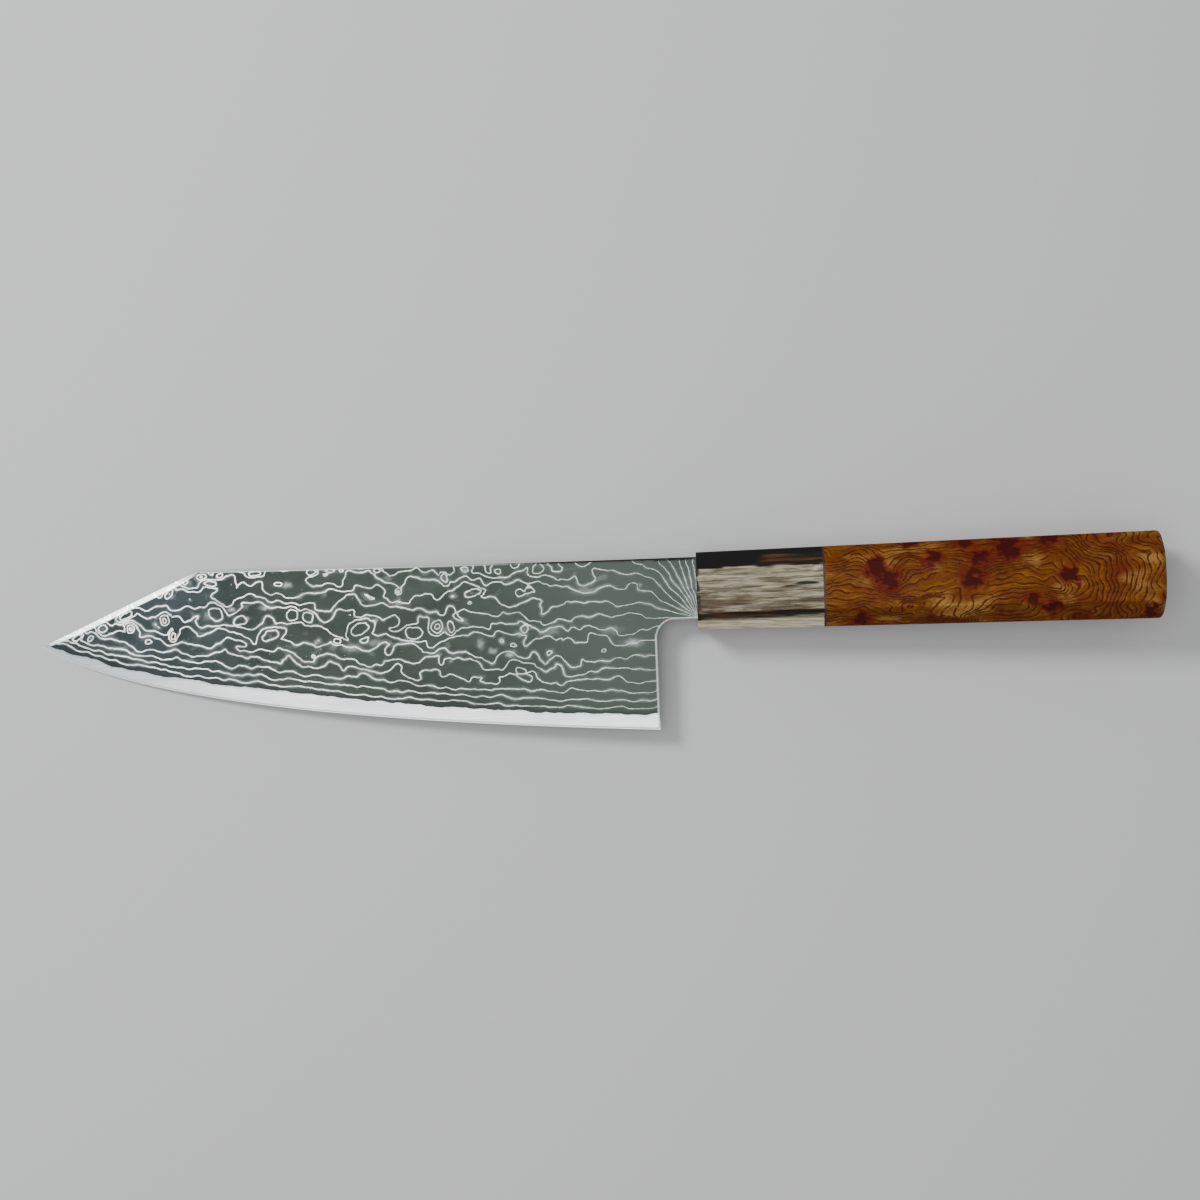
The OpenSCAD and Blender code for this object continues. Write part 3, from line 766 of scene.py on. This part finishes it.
def patterned_steel():
    m = Nodes("patterned_steel")
    x = m.xyz()[0]
    to_line = m.line_distance(m.field("layer"), m.field("slope"), 0.08)
    grit = m.noise((1500, 1500, 1500), 2.0, 0.6)
    to_line = m.plus(to_line, m.linear(grit, 0.25, 0.75, -0.06, 0.06))
    wide = m.minus(m.linear(x, -0.165, -0.03, 0.195, 0.145), m.ramp(x, -0.01, 0.02, 0.0, 0.06))
    past_line = m.minus(to_line, wide)
    line = m.ramp(past_line, 0.05, -0.05)
    strength = m.ramp(m.noise((160, 260, 200), 3.0), 0.3, 0.62, 0.62, 1.0)
    # painted highlight: the lines are made fainter towards the heel, as the light falls off along the blade
    strength = m.times(strength, m.linear(x, -0.13, 0.015, 1.0, 0.62))
    line = m.times(line, strength)
    cloud = m.noise((55, 90, 60), 4.0, 0.6)
    tone = m.linear(cloud, 0.3, 0.7)
    green = m.mix(tone, (0.024, 0.033, 0.027), (0.046, 0.061, 0.051))
    blue = m.mix(tone, (0.015, 0.023, 0.024), (0.042, 0.056, 0.061))
    base = m.mix(m.ramp(x, -0.085, -0.125), green, blue)
    base = m.mix(m.ramp(x, -0.045, 0.01), base, (0.058, 0.075, 0.064))
    speck = m.ramp(m.noise((900, 1300, 900), 3.0, 0.65), 0.64, 0.74)
    patch = m.ramp(m.noise((120, 160, 120), 2.0), 0.5, 0.68)
    speck = m.times(m.times(speck, patch), m.ramp(x, -0.02, -0.09))
    mottle = m.ramp(m.noise((420, 600, 420), 3.0, 0.6), 0.3, 0.7, 0.55, 1.0)
    base = m.mix(m.times(m.field("smear"), mottle), base, (0.55, 0.62, 0.60))
    base = m.mix(m.times(speck, 0.6), base, (0.5, 0.56, 0.54))
    glow = m.ramp(m.noise((130, 230, 150), 3.0), 0.42, 0.66, 0.0, 0.16)
    base = m.mix(m.times(m.ramp(past_line, 0.75, 0.05), glow), base, (0.6, 0.68, 0.66))
    base = m.mix(m.times(m.field("border"), 0.6), base, (0.026, 0.034, 0.033))
    # painted highlight: the lines go from near white at the tip to grey towards the heel
    color = m.mix(line, base, m.mix(m.ramp(x, -0.11, 0.0), (0.96, 0.98, 0.97), (0.66, 0.74, 0.69)))
    color = m.mix(m.field("polish"), color, (0.80, 0.83, 0.83))
    color = m.mix(m.field("scale"), color, (0.008, 0.008, 0.007))
    m.bump(line, 0.25, 0.00003)
    metal = m.linear(line, 0.0, 1.0, 0.75, 0.8)
    return m.use(color=color, metal=metal, rough=m.linear(line, 0.0, 1.0, 0.45, 0.28))


def core_metal():
    m = Nodes("core_steel")
    x = m.xyz()[0]
    hair = m.noise((60, 3200, 800), 3.0, 0.6)
    cloud = m.noise((45, 110, 60), 3.0, 0.5)
    tone = m.plus(m.linear(hair, 0.3, 0.7, 0.0, 0.5), m.linear(cloud, 0.3, 0.7, 0.0, 0.5))
    near_tip = m.mix(tone, (0.36, 0.43, 0.47), (0.66, 0.73, 0.76))
    rest_of = m.mix(tone, (0.72, 0.77, 0.79), (0.97, 0.985, 0.99))
    color = m.mix(m.ramp(x, -0.155, -0.085), near_tip, rest_of)
    color = m.mix(m.times(m.field("dim"), m.ramp(cloud, 0.3, 0.7, 0.35, 0.9)), color, (0.30, 0.35, 0.36))
    color = m.mix(m.ramp(m.field("above"), 0.75, 0.35), color, (0.86, 0.88, 0.87))
    m.bump(hair, 0.15, 0.00002)
    return m.use(color=color, metal=0.75, rough=m.linear(tone, 0.0, 1.0, 0.38, 0.27))


def antler():
    m = Nodes("antler")
    streak = m.noise((20, 430, 430), 5.0, 0.68, 0.35)
    fine = m.noise((80, 1700, 1700), 3.0, 0.6)
    cloud = m.noise((70, 300, 300), 4.0, 0.62)
    tone = m.plus(m.times(streak, 0.6), m.times(cloud, 0.4))
    color = m.mix(m.ramp(tone, 0.38, 0.6), srgb(82, 70, 44), srgb(170, 162, 136))
    color = m.tint(color, m.noise((24, 700, 700), 4.0, 0.65), 0.52, 0.62, 0.6, srgb(176, 170, 148))
    color = m.tint(color, m.noise((34, 760, 760), 5.0, 0.7), 0.47, 0.6, 0.8, srgb(52, 43, 24))
    color = m.tint(color, fine, 0.52, 0.68, 0.5, srgb(38, 30, 16))
    # brown colours the real brown streaks, and along the front end painted shade where the blade enters the
    # ferrule
    brown = m.mix(m.ramp(m.noise((26, 900, 900), 4.0, 0.68), 0.46, 0.7), srgb(13, 3, 0), srgb(98, 56, 22))
    edge = m.ramp(m.plus(m.field("brown"), m.linear(fine, 0.25, 0.75, -0.25, 0.25)), 0.25, 0.75)
    color = m.mix(m.times(edge, 0.985), color, brown)
    # the light field is painted highlight: pale colour laid where the ferrule's edges catch the light
    pale = m.mix(m.ramp(fine, 0.4, 0.6), srgb(166, 156, 132), srgb(222, 210, 184))
    color = m.mix(m.field("light"), color, pale)
    black = m.ramp(m.plus(m.field("black"), m.linear(fine, 0.25, 0.75, 0.15, -0.25)), 0.3, 0.75)
    color = m.mix(black, color, srgb(4, 3, 2))
    m.bump(m.plus(streak, fine), 0.3, 0.00005)
    return m.use(color=color, rough=m.linear(streak, 0.3, 0.7, 0.42, 0.3), spec=0.22)


def burl():
    m = Nodes("burl_wood")
    fibres = m.noise((420, 2300, 2300), 4.0, 0.65, 0.8)
    cloud = m.noise((130, 260, 260), 5.0, 0.66)
    r, g = m.field("grain"), m.field("grain_slope")
    grit = m.noise((700, 1500, 1500), 3.0, 0.65)
    d = m.plus(m.line_distance(r, g, 0.25), m.linear(grit, 0.25, 0.75, -0.17, 0.17))
    lines = m.field("lines")
    wide = m.linear(lines, 0.0, 1.2, 0.0, 0.2)
    line = m.ramp(m.minus(d, wide), 0.2, -0.03)
    line = m.times(line, m.ramp(lines, 0.0, 0.7, 0.35, 0.92))
    between = m.line_distance(m.plus(r, 0.5), g, 0.25)
    between = m.ramp(m.plus(between, m.linear(grit, 0.25, 0.75, -0.15, 0.15)), 0.2, 0.0)
    between = m.times(between, m.ramp(cloud, 0.38, 0.58, 0.1, 0.65))
    line = m.math("MAXIMUM", line, between)
    # between two dark lines the wood goes from red brown to gold
    base = m.mix(m.ramp(cloud, 0.34, 0.66), srgb(96, 48, 2), srgb(130, 82, 14))
    base = m.tint(base, m.math("FRACT", r), 0.1, 1.0, 0.55, srgb(88, 34, 2))
    base = m.tint(base, m.field("pale"), 0.2, 0.8, 0.85, srgb(158, 116, 54))
    base = m.tint(base, m.field("red"), 0.4, 1.1, 0.6, srgb(96, 32, 4))
    base = m.tint(base, fibres, 0.5, 0.7, 0.45, srgb(72, 32, 4))
    base = m.mix(line, base, srgb(66, 17, 0))
    soft = m.plus(m.field("knot"), m.linear(grit, 0.25, 0.75, -0.16, 0.16))
    base = m.tint(base, soft, 0.12, 0.46, 0.8, srgb(94, 22, 2))
    base = m.tint(base, soft, 0.4, 0.66, 0.95, srgb(58, 3, 0))
    m.bump(m.minus(fibres, line), 0.2, 0.00004)
    return m.use(color=base, rough=m.linear(fibres, 0.3, 0.7, 0.4, 0.52), spec=0.1)


def two_tone(name, scale, detail, rough, dark, light, dull, shiny):
    """A plain material that goes between two colours, and in the same way from dull to shiny."""
    m = Nodes(name)
    n = m.noise(scale, detail, rough)
    color = m.mix(m.ramp(n, 0.35, 0.65), dark, light)
    return m.use(color=color, rough=m.linear(n, 0.3, 0.7, dull, shiny))


red_fibre = two_tone("red_fibre", (2500, 700, 700), 3.0, 0.6, srgb(30, 5, 2), srgb(62, 13, 5), 0.5, 0.38)
wood_tones, resin_tones = (srgb(196, 160, 112), srgb(222, 190, 142)), (srgb(96, 74, 40), srgb(128, 102, 60))
plain_wood = two_tone("plain_wood", (40, 900, 900), 4.0, 0.6, *wood_tones, 0.6, 0.75)
clear_resin = two_tone("clear_resin", (300, 500, 500), 3.0, 0.5, *resin_tones, 0.2, 0.3)

# -------- blade pieces

steel = patterned_steel()
for node, side, seed in (("cladding_left", 1, LEFT_SEED), ("cladding_right", -1, RIGHT_SEED)):
    points, faces, kinds = cladding_slab()
    if side < 0:
        points, faces = points * (1, 1, -1), [face[:, ::-1] for face in faces]
    uv = map_corners(on_cladding, points, faces, kinds)
    piece = add_piece(node + "_look", points, faces, uv, layer_fields(points, seed), steel)
    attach(piece, "root")
    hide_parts(node)


def runs(marks, counts):
    """Even steps from each mark to the next, counts of them, without the first mark."""
    spans = zip(marks[:-1], marks[1:], counts)
    return np.concatenate([np.linspace(a, b, count + 1)[1:] for a, b, count in spans])


def core_slab():
    """Grid of the core, from the edge to the spine and back to the end of the tang."""
    blade = blade_columns(TIP_U + 0.06, 0.5)
    near_tip = TIP_U + np.array([0.06, 0.12, 0.25, 0.45])
    blade = np.concatenate([near_tip, blade[blade > TIP_U + 0.6]])
    us = np.concatenate([blade, NECK_COLUMNS, TANG_COLUMNS])
    n_blade, n_neck = len(blade), len(blade) + len(NECK_COLUMNS)
    top, low = back_v(us), edge_v(np.minimum(us, HEEL_U))
    at_border = np.minimum((border_v(us) - low) / (top - low), 0.85)
    above = np.minimum((border_v(us) + 1.4 - low) / (top - low), 0.93)
    heel = (NECK_V - CHOIL_R - HEEL_V) / (SPINE_V - HEEL_V)
    tang = [(v - NECK_V) / (SPINE_V - NECK_V) for v in (-TANG_ROOT, TANG_ROOT)]
    band = np.concatenate([[0, 0.02, 0.05, 0.085, 0.1, 0.125], np.linspace(0.18, 1, 15)])
    neck_row = len(band) + 11
    tang_low, tang_high, rows = neck_row + 3, neck_row + 10, neck_row + 16
    vs = np.zeros((len(us), rows + 1))
    for i in range(n_blade):
        choil = max(heel, above[i] + 0.01) if us[i] > -60 else above[i] + (1 - above[i]) * 0.3
        choil = heel if us[i] >= HEEL_U - 0.31 else choil
        marks = [at_border[i], above[i], choil] + [choil + (1 - choil) * t for t in tang] + [1]
        t = np.concatenate([band * at_border[i], runs(marks, (4, 8, 3, 7, 6))])
        vs[i] = low[i] + t * (top[i] - low[i])
    for i in range(n_blade, n_neck):
        foot = bottom_of_neck(us[i])
        vs[i, :neck_row] = foot
        vs[i, neck_row:] = foot + np.append(0, runs([0, *tang, 1], (3, 7, 6))) * (top[i] - foot)
    for i in range(n_neck, len(us)):
        vs[i, tang_low : tang_high + 1] = tang_half(us[i]) * np.linspace(-1, 1, 8)
    gap = np.arange(len(us) - 1)
    lows = np.where(gap < n_blade - 1, 0, np.where(gap < n_neck - 1, neck_row, tang_low))
    highs = np.where(gap < n_neck - 1, rows, tang_high)
    h = core_half(np.broadcast_to(us[:, None], vs.shape), vs)
    h[n_blade:] = np.minimum(h[n_blade:], CORE_HALF)
    h[n_neck:] = CORE_HALF
    return slab(us, vs, lows, highs, h, -h, range(rows + 1))


def on_core(u, v, w, kind):
    """The bare band of both sides goes in four lanes, the rest above them."""
    mid_u, mid_v = u.mean(1, keepdims=True), v.mean(1, keepdims=True)
    front, tang = mid_u < SPLIT_U, mid_u > 0
    x = np.where(front, u - TIP_U, np.where(tang, u, u - SPLIT_U)) * MAP_SCALE + 0.006
    if kind in ("top", "low"):
        low = kind == "low"
        bare = (mid_v < border_v(mid_u) + 0.3) & (mid_u < HEEL_U)
        y_bare = np.where(front, 0.005, 0.195) + 0.39 * low + (v - edge_v(u)) * 0.021
        x_rest = np.where(tang, u + 195, u - TIP_U) * 0.0034 + 0.006
        y_rest = 0.79 + (v + 40) * 0.0017 + 0.1 * low
        return np.where(bare, x, x_rest), np.where(bare, y_bare, y_rest)
    x = (v + 40) * MAP_SCALE + 0.01 if kind == "end" else np.where(tang, x * 0.5, x)
    lane = {"back": 0.978, "foot": 0.986, "end": 0.993}[kind]
    return x, lane + np.where(front, 0, 0.003) + (w + CORE_HALF) * 0.003


def core_fields(points):
    """Height above the edge, and where the band is dimmer: in patches under its border."""
    u, v = points[:, 0], points[:, 1]
    patchy = np.clip(0.5 + 1.2 * noise(u / 9, v / 4, 0, 41), 0, 1)
    dim = step(v - border_v(u), -0.5 - 1.1 * patchy, 0.1) * (u < HEEL_U + 0.01)
    return {"above": v - edge_v(u), "dim": dim * (0.5 + 0.5 * step(-u, 90, 150))}


points, faces, kinds = core_slab()
uv = map_corners(on_core, points, faces, kinds)
core = add_piece("core_steel_look", points, faces, uv, core_fields(points), core_metal())
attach(core, "root")
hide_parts("core_steel")

# -------- handle pieces


def around(outline):
    """Share of the way round an outline at each of its points, and 1 for coming back."""
    step_length = np.hypot(*(np.roll(outline, -1, 0) - outline).T)
    return np.concatenate([[0], np.cumsum(step_length) / step_length.sum()])


def handle_uv(spots, rings, parts, share):
    """parts gives each face array its place: ("side", u0, u1, x0, x1, y0, y1) or ("cap", x, y, scale)."""
    out, grid = [], np.stack(rings)
    for at, part in zip(spots, parts):
        r, k = at[..., 0], np.maximum(at[..., 1], 0)
        p = grid[np.maximum(r, 0), k % grid.shape[1]]
        p[r < 0] = 0
        if part[0] == "side":
            _, u0, u1, x0, x1, y0, y1 = part
            # the half that is seen from above gets two thirds of the map
            t = np.interp(share[k], [0, 0.25, 0.75, 1], [0, 0.17, 0.83, 1])
            x, y = x0 + (x1 - x0) * (p[..., 0] - u0) / (u1 - u0), y0 + (y1 - y0) * t
        else:
            _, x0, y0, scale = part
            x, y = x0 + p[..., 1] * scale, y0 + p[..., 2] * scale
        out.append(np.stack([x, y], -1).reshape(-1, 2))
    return np.concatenate(out)


# burl body
SIDE_END, ROUND_FROM, BUTT_AT, ROUND_R = 130.2, 130.4, 131.0, 2.1


def dome(outline):
    """U of the crowned butt over an outline."""
    return HANDLE_L - CROWN_R + np.sqrt(CROWN_R**2 - outline[:, 0] ** 2 - outline[:, 1] ** 2)


outline = octagon(LINER_END)
share = around(outline)
bore = circle_for(outline, BORE_R)
rings = [ring(DOWEL_END + 3.5, bore * 0.1), ring(DOWEL_END, bore), ring(LINER_END, bore)]
rings += [ring(LINER_END, shrunk(outline, bore, t)) for t in (0.66, 0.33)]
rings.append(ring(LINER_END, octagon(LINER_END, 0.03)))
first_side = len(rings)
along = np.append(LINER_END + 0.04, np.linspace(LINER_END + 0.45, SIDE_END, 208))
rings += [ring(u, octagon(u)) for u in along]
for a in np.radians(np.linspace(8, 90, 13)):
    o = octagon(BUTT_AT, ROUND_R * (1 - math.cos(a)), 0.5 + 0.9 * math.sin(a))
    rings.append(ring(ROUND_FROM + (dome(o) - ROUND_FROM) * math.sin(a), o))
last_round = len(rings) - 1
for t in np.linspace(0.05, 0.97, 24):
    o = shrunk(rings[last_round][:, 1:], 0, t)
    rings.append(ring(dome(o), o))
points, faces, spots = tube(rings, closed=False)
front_face, butt_face = ("cap", 0.40, 0.885, 0.0085), ("cap", 0.14, 0.885, 0.0092)
parts = [("side", LINER_END, DOWEL_END + 4, 0.55, 0.98, 0.81, 0.98)] * 2 + [front_face] * (first_side - 3)
outside = ("side", LINER_END, HANDLE_L + 0.2, 0.005, 0.985, 0.004, 0.765)
parts += [outside] * (last_round - first_side + 1) + [butt_face] * (len(rings) - 1 - last_round)
uv = handle_uv(spots, rings, parts + [front_face, butt_face], share)
fields = wood_fields(points)
fields["grain_slope"] = slopes(lambda p: wood_fields(p)["grain"], points)
body = add_piece("handle_body_look", points, faces, uv, fields, burl(), sharp=40)
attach(body, "root")
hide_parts("handle_body")

# liner
rings = [ring(u, octagon(u)) for u in np.linspace(FERRULE_L, LINER_END, 4)]
rings += [ring(u, bore) for u in (LINER_END, FERRULE_L)]
points, faces, spots = tube(rings, closed=True)
parts = [("side", FERRULE_L, LINER_END, 0.02, 0.3, 0.02, 0.98)] * 3 + [("cap", 0.66, 0.25, 0.018)]
parts += [("side", FERRULE_L, LINER_END, 0.32, 0.38, 0.02, 0.98), ("cap", 0.66, 0.75, 0.018)]
uv = handle_uv(spots, rings, parts, share)
liner = add_piece("liner_look", points, faces, uv, {}, red_fibre)
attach(liner, "root")
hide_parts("liner")

# ferrule
FRONT_R = 0.25
slot = slot_for(octagon(0.0), SLOT_HALF_V, SLOT_HALF_W)
slot_end = slot_for(octagon(0.0), SLOT_HALF_V - 0.2, SLOT_HALF_W)
front = octagon(0.0, FRONT_R)
rings = [ring(0.0, front)]
for a in np.radians((30, 60, 90)):
    rings.append(ring(FRONT_R * (1 - math.cos(a)), octagon(0.0, FRONT_R * (1 - math.sin(a)))))
rings += [ring(u, octagon(u)) for u in np.linspace(0.7, FERRULE_L, 80)]
side_to = len(rings) - 1
bore = circle_for(front, BORE_R)
rings += [ring(FERRULE_L, bore), ring(FERRULE_WALL, bore), ring(FERRULE_WALL, slot_end), ring(0.0, slot)]
rings += [ring(0.0, shrunk(slot, front, t)) for t in (0.12, 0.3, 0.5, 0.7, 0.88)]
points, faces, spots = tube(rings, closed=True)
parts = [("side", 0.0, FERRULE_L, 0.005, 0.73, 0.005, 0.995)] * side_to
parts += [("cap", 0.87, 0.85, 0.0105), ("side", FERRULE_WALL, FERRULE_L, 0.745, 0.76, 0.02, 0.7)]
parts += [("cap", 0.87, 0.5, 0.0105), ("side", 0.0, FERRULE_WALL, 0.765, 0.78, 0.02, 0.98)]
parts += [("cap", 0.87, 0.16, 0.011)] * 6
uv = handle_uv(spots, rings, parts, share)


def antler_fields(points):
    u, v, w = points.T
    wave = 1.1 * noise(u / 16, v / 3, w / 3, 91) + 0.6 * noise(u / 5, v / 1.6, w / 1.6, 92)
    fine = noise(u / 9, v / 0.9, w / 0.9, 94)
    # the upper chamfer is black in front and brown behind
    upper = step(v + 0.25 * wave, 5.9, 6.6)
    rear = step(u + 3 * wave, 13, 24) * step(10.0 - v + 1.6 * wave + 1.2 * fine, 0, 1.2)
    black = np.maximum(upper * (1 - rear), 0.85 * step(-v, 9, 12) * step(-w, 3, 6))
    wavy = v + 0.6 * wave
    mark = np.exp(-(np.abs((u - 31.6) / 4.2) ** 3)) * hump(wavy, 1.1, 0.62)
    mark = mark + 0.75 * blob(u, wavy, 26.0, 0.3, 3.4, 0.4) + 0.5 * blob(u, wavy, 30.0, -0.5, 5.0, 0.35)
    mark = mark * step(w, 7, 9)
    low = hump(wavy - 0.015 * (u - 18), -7.1, 1.0)
    soft = 0.55 * hump(v + 1.2 * wave, -4.9, 1.1) * step(30 - u, 0, 20)
    # front: painted shade, a dark brown band on the ferrule's first millimetre where the blade enters it
    front = step(1.0 + 1.6 * fine - u, 0, 0.8) * 0.9
    brown = np.maximum.reduce([upper, (low + soft) * step(w, 2, 4), front])
    # painted highlights in pale colour where the facets catch the light: a strip along the lower chamfer, a
    # broken line on the rounded edge of the upper chamfer (rim), which also lifts the black there, and a
    # triangle near the back end of that edge
    light = step(-v + 0.3 * fine, 8.4, 9.0) * step(w, 0, 3)
    rim = hump(v, 6.35, 0.28) * step(w, 5, 8) * step(noise(u / 5, 0.5, 0.5, 95), -0.15, 0.25)
    corner_highlight = blob(u, v - 0.5 * (u - 34), 34.0, 5.2, 1.5, 0.5) * step(w, 5, 7)
    black = np.maximum(black * (1 - 0.8 * rim), mark)
    fields = {"black": black, "brown": brown, "light": 0.85 * light + corner_highlight + 0.7 * rim}
    return {name: np.clip(field, 0, 1) for name, field in fields.items()}


ferrule = add_piece("ferrule_look", points, faces, uv, antler_fields(points), antler(), sharp=40)
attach(ferrule, "root")
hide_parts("ferrule")

# CAD pieces that keep their shape
for node, material in (("dowel", plain_wood), ("tang_resin", clear_resin)):
    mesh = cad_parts[node].data
    mesh.materials.clear()
    mesh.materials.append(material)

# -------- floor, world and light

WORLD, WORLD_STRENGTH = (0.80, 0.805, 0.81), 0.55
world = bpy.data.worlds.new("world")
world.use_nodes = True
world.node_tree.nodes["Background"].inputs[0].default_value = (*WORLD, 1.0)
world.node_tree.nodes["Background"].inputs[1].default_value = WORLD_STRENGTH
bpy.context.scene.world = world

bpy.ops.mesh.primitive_circle_add(vertices=96, radius=6.0, fill_type="NGON", location=(0, 0, 0))
floor = bpy.context.object
floor.name = "floor"
m = Nodes("floor")
x, y, _ = m.xyz()
far = m.math("SQRT", m.plus(m.times(x, x), m.times(y, y)))
glow = m.node("ShaderNodeEmission", {"Color": (*WORLD, 1.0), "Strength": WORLD_STRENGTH})
share = m.ramp(far, 0.45, 1.6)
blend = m.node("ShaderNodeMixShader", {0: share, 1: m.shader.outputs[0], 2: glow.outputs[0]})
m.tree.links.new(blend.outputs[0], m.tree.nodes["Material Output"].inputs["Surface"])
m.use(color=(0.60, 0.605, 0.61, 1.0), rough=0.9, spec=0.2)
floor.data.materials.append(m.material)


def lamp(name, place, aim, size, power):
    light = bpy.data.lights.new(name, "AREA")
    light.shape, light.size, light.energy = "DISK", size, power
    o = bpy.data.objects.new(name, light)
    o.location = place
    way = np.array(aim) - np.array(place)
    tilt, turn = math.atan2(math.hypot(way[0], way[1]), -way[2]), math.atan2(way[1], way[0])
    o.rotation_euler = (tilt, 0.0, turn - math.pi / 2)
    link(o)


lamp("key", (-0.55, 0.45, 0.75), (0, 0, 0), 0.3, 7.4)
lamp("softbox", (-0.25, -0.02, 1.3), (-0.25, -0.02, 0), 0.8, 5.5)
